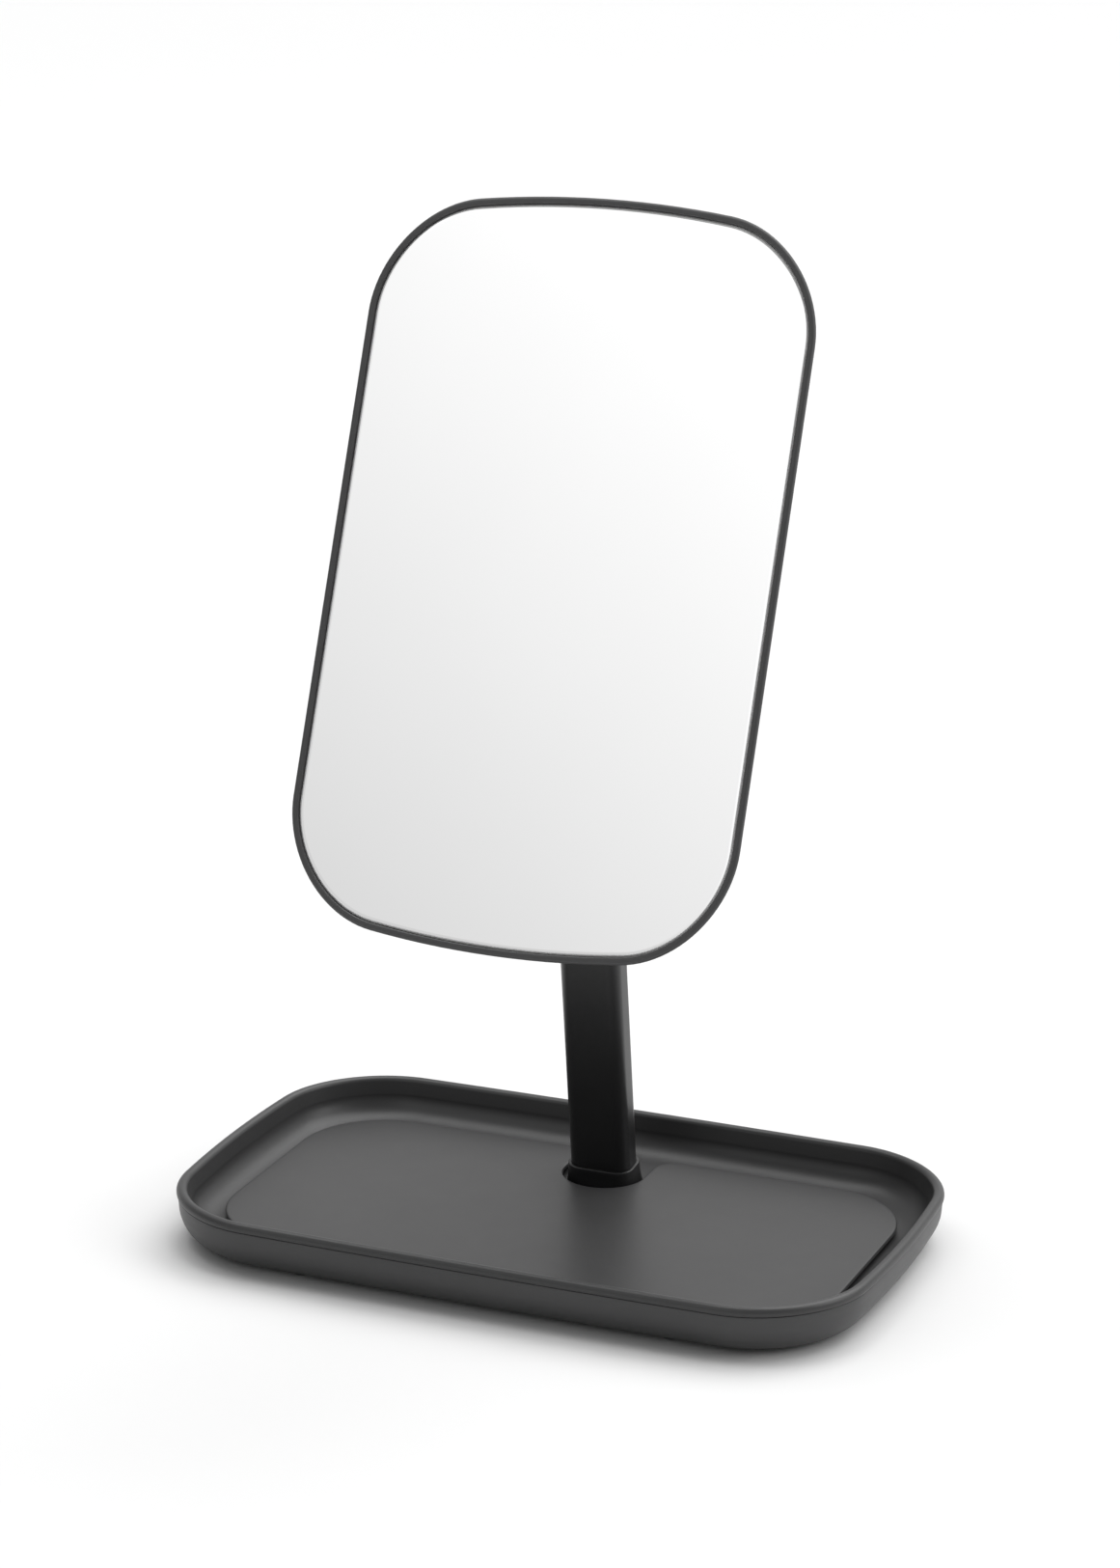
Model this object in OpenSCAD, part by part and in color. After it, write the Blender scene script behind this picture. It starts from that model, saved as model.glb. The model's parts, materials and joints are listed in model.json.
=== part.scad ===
// Free-standing tilting table mirror: a shallow storage tray with a lift-out mat, a leaning stem
// and a framed glass on a friction hinge. Millimetres, +Z up, the user's side is -Y, and the
// origin lies under the middle of the tray on the surface that it stands on.

/* [Tray] */
// Width of the tray across its rim
tray_w = 250; // [205:1:300]
// Depth of the tray across its rim
tray_d = 150.2; // [122:0.2:181]
// Height of the rim's crest above the table
rim_h = 18.9; // [15.6:0.1:23]
// Corner radius of the rim in plan
tray_corner_r = 36; // [29:1:44]
// How far the short ends bow outwards
end_bow = 5.4; // [0:0.1:8]
// How far the long sides bow outwards
side_bow = 1.4; // [0:0.1:4]
// Wall and floor thickness of the tray shell
tray_wall = 1.5; // [1.2:0.1:2]
// Width of the rounded lip around the tray
lip_w = 3.8; // [3.2:0.1:4.6]
// Height of the outer lip, from its crown to the ledge under it
lip_drop = 3; // [2.4:0.1:3.6]
// How far the inner wall leans in below the lip before its fillet starts
wall_lean = 1.2; // [0.4:0.1:2]
// Width of the fillet between the inner wall and the floor
floor_fillet = 9.4; // [7:0.1:11]

/* [Base] */
// Gap between the base shell and the table, which the feet fill
base_lift = 1; // [0.6:0.1:1.6]
// Floor thickness of the base shell
base_floor = 1.4; // [1.2:0.1:2]
// Wall thickness of the base shell
base_wall = 1.2; // [1:0.1:1.4]
// How far the base shell's wall tapers inwards on its way down
base_taper = 3.3; // [1:0.1:5]
// Radius of the base shell's bottom edge
base_edge_r = 2.2; // [1.6:0.1:3]
// Thickness of the steel ballast plate
ballast_t = 1.3; // [1:0.1:2]
// Margin between the rim and the ballast plate
ballast_margin = 14.4; // [13:0.1:24]
// Radius of a foot
foot_r = 7; // [5:0.1:9]
// Depth of a foot's pocket
foot_pocket = 0.8; // [0.4:0.1:1]
// Distance of each foot's centre in from the tray's end and side
foot_inset = 27; // [24:1:34]
// Distance of the base screws in from the rim
screw_inset = 10; // [9.8:0.1:10.6]
// Distance of the four side screws from the middle of the tray
screw_x = 66; // [50:1:80]

/* [Mat] */
// Width of the lift-out mat
mat_w = 220.2; // [180:0.2:221]
// Depth of the lift-out mat
mat_d = 114.5; // [94:0.1:118]
// Thickness of the mat
mat_t = 3; // [2:0.1:4]
// Corner radius of the mat
mat_corner_r = 30.6; // [28:0.2:40]
// Half the width of the notch that lets the stem's collar through
notch_r = 14.6; // [13.6:0.1:18]
// Radius of the notch's corners at the mat's back edge
notch_flare = 7; // [3:0.1:9]

/* [Stem] */
// Width of the stem
stem_w = 22; // [18:0.5:26]
// Depth of the stem
stem_d = 13; // [12:0.1:16]
// Corner radius of the stem
stem_corner_r = 4.5; // [3.2:0.1:5.5]
// Wall thickness of the stem
stem_wall = 2; // [1.4:0.1:2.2]
// Forward lean of the stem
stem_lean = 7.25; // [3:0.25:9]
// Distance of the stem's foot behind the middle of the tray
stem_y = 40.2; // [36:0.2:42]
// Length from the tray's floor to the hinge axis
stem_reach = 222; // [185:1:266]
// Height of the collar around the stem's foot
collar_h = 7.6; // [5:0.1:10]
// Wall of the collar at its top
collar_wall = 1; // [0.8:0.1:1.6]
// Extra spread of the collar at its foot
collar_flare = 1.3; // [0.4:0.1:2]
// Radius of the bolt that holds the stem down
bolt_r = 2.45; // [2:0.05:2.5]

/* [Hinge] */
// Radius of the hinge pin
pin_r = 2.5; // [2:0.1:3]
// Radius of the two ears of the yoke
ear_r = 8; // [7:0.1:9]
// Thickness of an ear
ear_t = 3.7; // [3:0.1:4.2]
// Half the width of the knuckle between the ears
knuckle_half = 4.9; // [3.6:0.1:5.4]
// Radius of the knuckle
knuckle_r = 6.5; // [5.6:0.1:7.2]
// Thickness of a friction washer
washer_t = 1; // [0.6:0.1:1.4]
// Distance of the hinge axis behind the face of the mirror
hinge_depth = 23.4; // [22:0.2:28]

/* [Mirror] */
// Width of the mirror over its frame
mirror_w = 156.5; // [130:0.5:188]
// Height of the mirror over its frame
mirror_h = 248.7; // [205:0.3:299]
// Corner radius of the mirror frame
mirror_corner_r = 34.5; // [28:0.5:42]
// How far the top and bottom of the frame bow outwards
mirror_bow = 8.8; // [0:0.2:12]
// Backward tilt of the mirror at rest
mirror_tilt = 22.6; // [0:0.2:30]
// Depth of the frame from front to back
frame_depth = 8.1; // [7.4:0.1:10]
// Width of the frame's lip in front of the glass
frame_lip = 2.3; // [1.9:0.1:3]
// Wall thickness of the frame
frame_wall = 1.5; // [1.2:0.1:1.7]
// Thickness of the glass
glass_t = 3; // [2:0.1:4]
// Thickness of the adhesive strips behind the glass
adhesive_t = 1; // [0.5:0.1:1.5]
// Thickness of the back cover
back_t = 2.8; // [2.4:0.1:4]

/* [Hidden] */

FINE = 64;              // facets that make a true circle
ARC_STEPS = 7;          // steps round a quarter corner
SIDE_STEPS = 4;         // steps along a bowed side
CUT = 1;                // overshoot of a cutting shape
seat_gap = 0.1;         // gap of a loose piece in its seat
run_gap = 0.05;         // radial clearance of a shaft or screw in its bore

// Heights of the layers, from the table up
base_top = base_lift + base_floor;
ballast_top = base_top + ballast_t;
floor_z = ballast_top + tray_wall;
mat_z = floor_z + seat_gap;
lip_r = lip_w / 2;
ledge_z = rim_h - lip_drop;
seam_z = ledge_z - seat_gap;

// Insets from the rim outline, going inwards
wall_inset = lip_w + wall_lean;
fillet_top = rim_h - lip_r - 3.5;
floor_inset = wall_inset + floor_fillet;
skirt_inset = lip_w + 0.6 - tray_wall;
base_inset = skirt_inset - seat_gap - base_wall;

// Round hardware
screw_r = 1.2;
screw_head_r = 2.4;
screw_head_h = 1.1;
screw_sink = 0.1;
screw_tip = floor_z - 0.7;
boss_r = 2.2;
bolt_head_r = 4.6;
bolt_head_h = bolt_head_r - bolt_r;
bolt_sink = 0.2;
socket_floor = 2;
plug_len = 24;
bolt_end_z = floor_z + socket_floor + plug_len / 2;

// Hinge stack along X, from the middle outwards
ear_in = knuckle_half + washer_t + 2 * seat_gap;
ear_out = ear_in + ear_t;
washer_r = knuckle_r - 0.5;
head_r = pin_r + 2;
head_t = 2;
spring_t = 1;
nut_r = pin_r + 2.1;
nut_t = 3.4;
pin_spare = 0.6;
cap_r = ear_r - 1;
cap_wall = 1.2;
head_cap_t = head_t + cap_wall + 0.4;
nut_cap_t = spring_t + nut_t + pin_spare + cap_wall + 0.4;
slot_depth = knuckle_r + 2;
shoulder_t = 3.4;
yoke_plug = 18;
yoke_screw_r = 1.5;

// Mirror stack behind its face
glass_z = 1;
adhesive_z = glass_z + glass_t;
back_z = adhesive_z + adhesive_t;
back_rear = back_z + back_t;
plate_w = 46;
plate_h = 54;
plate_t = 2.6;
plate_corner_r = 8;
plate_rear = back_rear + plate_t;
neck_half = 4.5;
plate_screw = [16, 20];
plate_screw_len = plate_t + back_t - 0.8;

pivot = [0, stem_y - stem_reach * sin(stem_lean), floor_z + stem_reach * cos(stem_lean)];
stem_top = stem_reach - slot_depth - shoulder_t;

// Quarter of a circle about a centre, from a start angle
function corner_arc(centre, r, start) =
    [for (i = [0:ARC_STEPS]) centre + r * [cos(start + 90 * i / ARC_STEPS), sin(start + 90 * i / ARC_STEPS)]];

// Points strictly between two ends of a side, which only a bowed side needs
function between(a, b, bow) = bow == 0 ? [] : [for (i = [1:SIDE_STEPS - 1]) a + (b - a) * i / SIDE_STEPS];

// Rounded rectangle, anticlockwise, with the same number of points at any size
function round_rect(w, d, r, bx = 0, by = 0) =
    let (x = w / 2, y = d / 2)
    concat(
        between([x, r - y], [x, y - r], bx), corner_arc([x - r, y - r], r, 0),
        between([x - r, y], [r - x, y], by), corner_arc([r - x, y - r], r, 90),
        between([-x, y - r], [-x, r - y], bx), corner_arc([r - x, r - y], r, 180),
        between([r - x, -y], [x - r, -y], by), corner_arc([x - r, r - y], r, 270));

// Rounded rectangle whose ends bow out by bx and whose long sides bow out by by
function bowed_rect(w, d, r, bx, by) =
    [for (p = round_rect(w, d, r, bx, by)) [
        p.x - sign(p.x) * bx * pow(abs(p.y) / (d / 2), 2),
        p.y - sign(p.y) * by * pow(abs(p.x) / (w / 2), 2)]];

function lifted(outline, z) = [for (p = outline) [p.x, p.y, z]];

function tray_outline(inset) =
    bowed_rect(tray_w - 2 * inset, tray_d - 2 * inset, max(tray_corner_r - inset, 3), end_bow, side_bow);

function mirror_outline(inset) =
    bowed_rect(mirror_w - 2 * inset, mirror_h - 2 * inset, mirror_corner_r - inset, 0, mirror_bow);

// Rings through a list of [inset, height] pairs
function tray_rings(profile) = [for (p = profile) lifted(tray_outline(p[0]), p[1])];
function mirror_rings(profile) = [for (p = profile) lifted(mirror_outline(p[0]), p[1])];

// Solid through equal rings, with a flat face at each end
module loft(rings) {
    n = len(rings[0]);
    m = len(rings);
    polyhedron([for (ring = rings) each ring], concat(
        [[for (i = [0:n - 1]) i]],
        [for (j = [0:m - 2], i = [0:n - 1])
            [j * n + i, (j + 1) * n + i, (j + 1) * n + (i + 1) % n, j * n + (i + 1) % n]],
        [[for (i = [n - 1:-1:0]) (m - 1) * n + i]]));
}

// Closed hoop through equal rings
module hoop(rings) {
    n = len(rings[0]);
    m = len(rings);
    polyhedron([for (ring = rings) each ring], [for (j = [0:m - 1], i = [0:n - 1])
        [j * n + i, ((j + 1) % m) * n + i, ((j + 1) % m) * n + (i + 1) % n, j * n + (i + 1) % n]]);
}

// Straight bar of rounded section
module bar(w, d, r, h) {
    linear_extrude(h) polygon(round_rect(w, d, r));
}

// Cylinder along X, from x to x + length
module x_cylinder(r, x, length) {
    translate([x, 0, 0]) rotate([0, 90, 0]) cylinder(r = r, h = length, $fn = FINE);
}

// Countersunk screw pointing up, with its head's face at the origin
module countersunk(r, head_r, head_h, length) {
    cylinder(r = r, h = length, $fn = FINE);
    cylinder(r1 = head_r, r2 = r, h = head_h, $fn = FINE);
}

// Clearance hole for that screw, open below its head
module countersunk_hole(r, head_r, head_h, length) {
    countersunk(r + run_gap, head_r + run_gap, head_h, length);
    translate([0, 0, -CUT]) cylinder(r = head_r + run_gap, h = CUT, $fn = FINE);
}

// Frame of the stem: origin at the middle of its foot, +Z along the stem
module in_stem() {
    translate([0, stem_y, floor_z]) rotate([stem_lean, 0, 0]) children();
}

// Frame of the mirror: origin in the middle of its face, +Y up the face, +Z towards the user
module in_mirror() {
    translate(pivot) rotate([90 - mirror_tilt, 0, 0]) translate([0, 0, hinge_depth]) children();
}

// Six places under the rim where the base is screwed to the tray
module at_base_screws() {
    side_y = tray_d / 2 - screw_inset - side_bow * pow(2 * screw_x / tray_w, 2);
    for (sx = [-1, 1], sy = [-1, 1]) translate([sx * screw_x, sy * side_y, 0]) children();
    for (sx = [-1, 1]) translate([sx * (tray_w / 2 - screw_inset), 0, 0]) children();
}

module at_feet() {
    for (sx = [-1, 1], sy = [-1, 1])
        translate([sx * (tray_w / 2 - foot_inset - 8), sy * (tray_d / 2 - foot_inset), 0]) children();
}

module at_plate_screws() {
    for (sx = [-1, 1], sy = [-1, 1]) translate([sx * plate_screw.x, sy * plate_screw.y, 0]) children();
}

// Upper dish: floor, filleted wall and rolled lip
module tray_shell() {
    fillet_h = fillet_top - floor_z;
    under = [for (a = [90:-18:0]) [
        floor_inset - (floor_fillet + tray_wall) * cos(a), fillet_top - (fillet_h + tray_wall) * sin(a)]];
    lip = [for (b = [-30:30:180]) [lip_r - lip_r * cos(b), rim_h - lip_r + lip_r * sin(b)]];
    inside = [for (a = [0:18:90]) [floor_inset - floor_fillet * cos(a), fillet_top - fillet_h * sin(a)]];
    color("dimgray") difference() {
        union() {
            loft(tray_rings(concat(under, [[skirt_inset, ledge_z], [0.6, ledge_z]], lip, inside)));
            at_base_screws() translate([0, 0, base_top]) cylinder(r = boss_r, h = floor_z - base_top, $fn = FINE);
        }
        at_base_screws() translate([0, 0, base_top - CUT])
            cylinder(r = screw_r + run_gap, h = screw_tip + 0.2 - base_top + CUT, $fn = FINE);
        translate([0, stem_y, 0]) cylinder(r = bolt_r + run_gap, h = rim_h, $fn = FINE);
    }
}

// Lower casing: tapered wall and bottom, which closes the tray from below
module base_shell() {
    function outer_inset(z) = base_inset + base_taper * (seam_z - z) / (seam_z - base_lift);
    edge_z = base_lift + base_edge_r;
    edge_inset = outer_inset(edge_z);
    inner_r = base_edge_r - 0.6;
    outer = [for (a = [0:22.5:90]) [
        edge_inset + base_edge_r - base_edge_r * sin(a), edge_z - base_edge_r * cos(a)]];
    inner_z = base_top + inner_r;
    inner_inset = outer_inset(inner_z) + base_wall;
    inner = [for (a = [90:-30:0]) [
        inner_inset + inner_r - inner_r * sin(a), inner_z - inner_r * cos(a)]];
    color("dimgray") difference() {
        loft(tray_rings(concat(outer, [[base_inset, seam_z], [base_inset + base_wall, seam_z]], inner)));
        at_feet() translate([0, 0, base_lift - CUT]) cylinder(r = foot_r + run_gap, h = foot_pocket + CUT, $fn = FINE);
        at_base_screws() translate([0, 0, base_lift + screw_sink])
            countersunk_hole(screw_r, screw_head_r, screw_head_h, base_floor + CUT);
        translate([0, stem_y, base_lift + bolt_sink])
            countersunk_hole(bolt_r, bolt_head_r, bolt_head_h, base_floor + CUT);
    }
}

// Steel sheet between the shells that keeps the mirror from tipping
module ballast_plate() {
    color("slategray") difference() {
        translate([0, 0, base_top]) linear_extrude(ballast_t) polygon(tray_outline(ballast_margin));
        translate([0, stem_y, base_lift + bolt_sink])
            countersunk_hole(bolt_r, bolt_head_r, bolt_head_h, floor_z);
    }
}

// Loose mat on the tray's floor, notched round the stem
module tray_mat() {
    back_y = mat_d / 2;
    color("gray") translate([0, 0, mat_z]) difference() {
        linear_extrude(mat_t) polygon(round_rect(mat_w, mat_d, mat_corner_r));
        translate([0, stem_y, -CUT]) cylinder(r = notch_r, h = mat_t + 2 * CUT, $fn = FINE);
        translate([-notch_r, stem_y, -CUT]) cube([2 * notch_r, back_y, mat_t + 2 * CUT]);
        for (sx = [-1, 1]) scale([sx, 1, 1]) difference() {
            translate([0, back_y - notch_flare, -CUT]) cube([notch_r + notch_flare, 2 * notch_flare, mat_t + 2 * CUT]);
            translate([notch_r + notch_flare, back_y - notch_flare, -2 * CUT])
                cylinder(r = notch_flare, h = mat_t + 4 * CUT, $fn = FINE);
        }
    }
}

module feet() {
    color("black") at_feet() cylinder(r = foot_r, h = base_lift + foot_pocket, $fn = FINE);
}

module base_screws() {
    color("silver") at_base_screws() translate([0, 0, base_lift + screw_sink])
        countersunk(screw_r, screw_head_r, screw_head_h, screw_tip - base_lift - screw_sink);
}

// Collar that locates the stem's foot on the tray
module stem_socket() {
    spread = collar_wall + seat_gap;
    top = socket_floor + collar_h - 2;
    color("black") difference() {
        intersection() {
            in_stem() loft([for (k = [0:4])
                let (up = k / 4, grow = 2 * (spread + collar_flare * pow(1 - up, 2)))
                lifted(round_rect(stem_w + grow, stem_d + grow, stem_corner_r + grow / 2), -2 + (top + 2) * up)]);
            translate([-stem_w, 0, floor_z]) cube([2 * stem_w, tray_d / 2, rim_h]);
        }
        in_stem() translate([0, 0, socket_floor])
            bar(stem_w + 2 * seat_gap, stem_d + 2 * seat_gap, stem_corner_r + seat_gap, rim_h);
        translate([0, stem_y, 0]) cylinder(r = bolt_r + run_gap, h = rim_h, $fn = FINE);
    }
}

// Hollow leaning post
module stem() {
    color("black") in_stem() difference() {
        translate([0, 0, socket_floor]) bar(stem_w, stem_d, stem_corner_r, stem_top - socket_floor);
        bar(stem_w - 2 * stem_wall, stem_d - 2 * stem_wall, stem_corner_r - stem_wall, stem_top + CUT);
        at_yoke_screws() cylinder(r = yoke_screw_r + run_gap, h = stem_d, $fn = FINE);
    }
}

// Section of what slides into the stem
module stem_insert(h) {
    bar(stem_w - 2 * stem_wall - 2 * seat_gap, stem_d - 2 * stem_wall - 2 * seat_gap,
        stem_corner_r - stem_wall - seat_gap, h);
}

// Threaded block in the stem's foot that the bolt pulls down
module stem_foot_plug() {
    color("gray") difference() {
        in_stem() translate([0, 0, socket_floor]) stem_insert(plug_len);
        translate([0, stem_y, 0]) cylinder(r = bolt_r + run_gap, h = bolt_end_z + 2 * CUT, $fn = FINE);
    }
}

module stem_bolt() {
    color("silver") translate([0, stem_y, base_lift + bolt_sink])
        countersunk(bolt_r, bolt_head_r, bolt_head_h, bolt_end_z - base_lift - bolt_sink);
}

// Two places on the back of the stem where the yoke's plug is screwed in
module at_yoke_screws() {
    for (k = [-1, 1]) translate([0, 0, stem_top - yoke_plug / 2 + k * yoke_plug / 4]) rotate([-90, 0, 0]) children();
}

// Fork at the stem's top, with a plug that fits inside the stem
module hinge_yoke() {
    color("black") in_stem() difference() {
        union() {
            translate([0, 0, stem_top - yoke_plug]) stem_insert(yoke_plug + CUT);
            translate([0, 0, stem_top]) bar(stem_w, stem_d, stem_corner_r, shoulder_t);
            for (x = [-ear_out, ear_in]) {
                translate([x, -stem_d / 2 + 0.5, stem_top + shoulder_t - CUT])
                    cube([ear_t, stem_d - 1, slot_depth + CUT]);
                translate([0, 0, stem_reach]) x_cylinder(ear_r, x, ear_t);
            }
        }
        translate([0, 0, stem_reach]) x_cylinder(pin_r + run_gap, -stem_w, 2 * stem_w);
        at_yoke_screws() cylinder(r = yoke_screw_r + run_gap, h = stem_d, $fn = FINE);
    }
}

module yoke_screws() {
    color("silver") in_stem() at_yoke_screws() translate([0, 0, 0.5])
        cylinder(r = yoke_screw_r, h = stem_d / 2 - 0.8, $fn = FINE);
}

// Headed pin that the mirror turns on
module hinge_pin() {
    left_end = ear_out + spring_t + nut_t + pin_spare;
    color("silver") translate(pivot) {
        x_cylinder(pin_r, -left_end, left_end + ear_out + CUT);
        x_cylinder(head_r, ear_out, head_t);
    }
}

// Ring on the hinge axis
module hinge_ring(r_out, r_in, x, t) {
    translate(pivot) difference() {
        x_cylinder(r_out, x, t);
        x_cylinder(r_in, x - CUT, t + 2 * CUT);
    }
}

module friction_washers() {
    gap = knuckle_half + seat_gap;
    color("white") for (x = [-gap - washer_t, gap]) hinge_ring(washer_r, pin_r + run_gap, x, washer_t);
}

module spring_washer() {
    color("silver") hinge_ring(nut_r + 0.2, pin_r + run_gap, -ear_out - spring_t, spring_t);
}

module hinge_nut() {
    color("silver") translate(pivot) difference() {
        translate([-ear_out - spring_t - nut_t, 0, 0]) rotate([0, 90, 0]) cylinder(r = nut_r, h = nut_t, $fn = 6);
        x_cylinder(pin_r + run_gap, -ear_out - spring_t - nut_t - CUT, nut_t + 2 * CUT);
    }
}

// Cup that covers an end of the hinge; side is 1 for right and -1 for left
module hinge_cap(side, t) {
    color("black") translate(pivot) difference() {
        x_cylinder(cap_r, side > 0 ? ear_out : -ear_out - t, t);
        x_cylinder(cap_r - cap_wall, side > 0 ? ear_out - CUT : cap_wall - ear_out - t, t - cap_wall + CUT);
    }
}

module head_cap() {
    hinge_cap(1, head_cap_t);
}

module nut_cap() {
    hinge_cap(-1, nut_cap_t);
}

// Plate on the mirror's back with the knuckle that turns on the pin
module mirror_bracket() {
    color("dimgray") in_mirror() difference() {
        union() {
            translate([0, 0, -plate_rear]) bar(plate_w, plate_h, plate_corner_r, plate_t);
            translate([-knuckle_half, -neck_half, -hinge_depth])
                cube([2 * knuckle_half, 2 * neck_half, hinge_depth - plate_rear + CUT]);
            translate([0, 0, -hinge_depth]) x_cylinder(knuckle_r, -knuckle_half, 2 * knuckle_half);
        }
        translate([0, 0, -hinge_depth]) x_cylinder(pin_r + run_gap, -stem_w, 2 * stem_w);
        at_plate_screws() translate([0, 0, -plate_rear])
            countersunk_hole(screw_r, screw_head_r, screw_head_h, plate_t + CUT);
    }
}

module bracket_screws() {
    color("silver") in_mirror() at_plate_screws() translate([0, 0, -plate_rear])
        countersunk(screw_r, screw_head_r, screw_head_h, plate_screw_len);
}

// Rear cover of the mirror, let into the back of the frame
module mirror_back() {
    edge = frame_wall + seat_gap;
    color("dimgray") in_mirror() difference() {
        loft(mirror_rings([[edge + 2.4, -back_rear], [edge + 0.8, -back_rear + 0.25],
            [edge, -back_rear + 0.9], [edge, -back_z]]));
        at_plate_screws() translate([0, 0, -back_rear - CUT])
            cylinder(r = screw_r + run_gap, h = plate_screw_len - plate_t + 0.2 + CUT, $fn = FINE);
    }
}

// Three foam strips that hold the glass to the cover
module glass_adhesive() {
    strip_w = mirror_w / 7;
    color("white") in_mirror() for (k = [-1:1])
        translate([k * 2 * strip_w, 0, -back_z]) bar(strip_w, mirror_h * 0.7, 2, adhesive_t);
}

module mirror_glass() {
    color("lightsteelblue") in_mirror() translate([0, 0, -adhesive_z])
        linear_extrude(glass_t) polygon(mirror_outline(frame_wall + seat_gap));
}

// Slim hoop round the glass, with a lip in front and the cover behind
module mirror_frame() {
    color("dimgray") in_mirror() hoop(mirror_rings([
        [frame_wall, -frame_depth], [0.6, -frame_depth], [0, -frame_depth + 0.6], [0, -1.3],
        [0.2, -0.6], [0.7, -0.15], [frame_lip - 1, 0], [frame_lip - 0.4, -0.05], [frame_lip, -0.35],
        [frame_lip, -glass_z], [frame_wall, -glass_z]]));
}

tray_shell();
base_shell();
ballast_plate();
tray_mat();
feet();
base_screws();
stem_socket();
stem();
stem_foot_plug();
stem_bolt();
hinge_yoke();
yoke_screws();
hinge_pin();
friction_washers();
spring_washer();
hinge_nut();
head_cap();
nut_cap();
mirror_bracket();
bracket_screws();
mirror_back();
glass_adhesive();
mirror_glass();
mirror_frame();
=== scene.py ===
"""Looks of a tilting table mirror: smooth shells, ground glass edge, small hardware, finishes and studio."""

import json
import math

import bmesh
import bpy
import numpy as np
from bpy.props import FloatProperty, FloatVectorProperty, IntProperty, PointerProperty
from mathutils import Matrix, Vector


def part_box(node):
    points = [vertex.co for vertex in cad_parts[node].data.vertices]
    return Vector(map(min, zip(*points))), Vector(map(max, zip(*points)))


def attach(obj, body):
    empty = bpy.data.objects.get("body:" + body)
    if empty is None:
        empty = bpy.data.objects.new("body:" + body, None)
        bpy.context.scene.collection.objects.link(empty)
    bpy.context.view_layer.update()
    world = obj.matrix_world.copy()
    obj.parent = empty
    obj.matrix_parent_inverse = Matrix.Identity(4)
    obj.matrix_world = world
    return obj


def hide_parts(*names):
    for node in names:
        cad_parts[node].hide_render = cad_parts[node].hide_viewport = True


bl_info = {
    "name": "Tilting table mirror",
    "version": (1, 0, 0),
    "blender": (4, 5, 0),
    "location": "View3D > Sidebar > Table mirror",
    "description": "Builds the finished pieces of a table mirror with a storage tray around its fixed frame",
    "category": "Object",
}

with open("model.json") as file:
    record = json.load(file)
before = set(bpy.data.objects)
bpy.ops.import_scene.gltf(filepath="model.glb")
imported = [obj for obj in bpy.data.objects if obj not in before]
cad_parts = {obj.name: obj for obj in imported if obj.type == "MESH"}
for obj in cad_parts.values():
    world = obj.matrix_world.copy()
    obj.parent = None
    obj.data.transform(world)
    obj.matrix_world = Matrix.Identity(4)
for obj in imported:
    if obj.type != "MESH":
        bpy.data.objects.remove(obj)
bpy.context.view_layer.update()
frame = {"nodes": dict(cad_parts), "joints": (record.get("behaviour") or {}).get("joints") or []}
MM = 0.001

# What the frame says about the sizes, in metres
TRAY_LOW, TRAY_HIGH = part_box("tray_shell")
MAT_LOW, MAT_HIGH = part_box("tray_mat")
BASE_LOW, BASE_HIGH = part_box("base_shell")
FEET_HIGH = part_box("feet")[1]
STEM_LOW, STEM_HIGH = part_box("stem")
FRAME_LOW, FRAME_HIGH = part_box("mirror_frame")
BOLT_LOW, BOLT_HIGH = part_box("stem_bolt")
PIVOT = Vector(next(j["pos_m"] for j in frame["joints"] if j["name"] == "mirror_tilt"))

TRAY_SIZE = (TRAY_HIGH.x - TRAY_LOW.x, TRAY_HIGH.y - TRAY_LOW.y)
RIM_Z = TRAY_HIGH.z
MIRROR_W = FRAME_HIGH.x - FRAME_LOW.x
MIRROR_TILT = math.radians(22.6)
STEM_LEAN = math.radians(7.25)
STEM_FOOT = Vector((0, (BOLT_LOW.y + BOLT_HIGH.y) / 2, MAT_LOW.z - 0.1 * MM))

# Plan shapes
TRAY_BOW = (5.4 * MM, 1.4 * MM)
TRAY_CORNER = 36 * MM
MAT_CORNER = 30.6 * MM
NOTCH_R = 14.6 * MM
NOTCH_FLARE = 7 * MM
MIRROR_CORNER = 34.5 * MM
MIRROR_BOW = 8.8 * MM
MIRROR_H = 248.7 * MM
HINGE_DEPTH = 23.4 * MM
FRAME_DRAFT = math.radians(24)
STEM_SHORT = 11.9 * MM
STEM_CORNER = 4.5 * MM
STEM_DEPTH = 13 * MM
STEM_WALL = 2 * MM

# Shell sections
LIP_W = 3.8 * MM
LIP_DROP = 3 * MM
WALL_LEAN = 1.2 * MM
FLOOR_FILLET = 9.4 * MM
TRAY_WALL = 1.5 * MM
BASE_WALL = 1.2 * MM
BASE_FLOOR = 1.4 * MM
BASE_CORNER = (10.1 * MM, 12 * MM)
FRAME_DEPTH = 8.1 * MM
FRAME_LIP = 2.3 * MM
GLASS_FRONT = 1 * MM
GLASS_T = 3 * MM
BACK_FRONT = 5 * MM
BACK_REAR = 7.8 * MM
SEAT = 0.1 * MM

# Hardware
FOOT_R = 7 * MM
SCREW_INSET = 10 * MM
SCREW_ACROSS = 66 * MM
SCREW_HEAD_R = 2.4 * MM
BOLT_HEAD_R = 4.6 * MM
HOLE_PLAY = 0.1 * MM
POCKET = 4 * MM
BRACKET_T = 2.6 * MM
BRACKET_SPREAD = (16 * MM, 20 * MM)
YOKE_SCREW_OUT = 6.2 * MM
YOKE_SCREW_DEPTH = 9 * MM
YOKE_SCREW_PITCH = 9 * MM
FOOT_POCKET = 1.8 * MM

# Camera
CAMERA_PLACE = (0.53495, -1.27072, 0.58939)
CAMERA_TURN = math.radians(22.83)
CAMERA_DROP = math.radians(17.26)
CAMERA_LENS = 100.53


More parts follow.
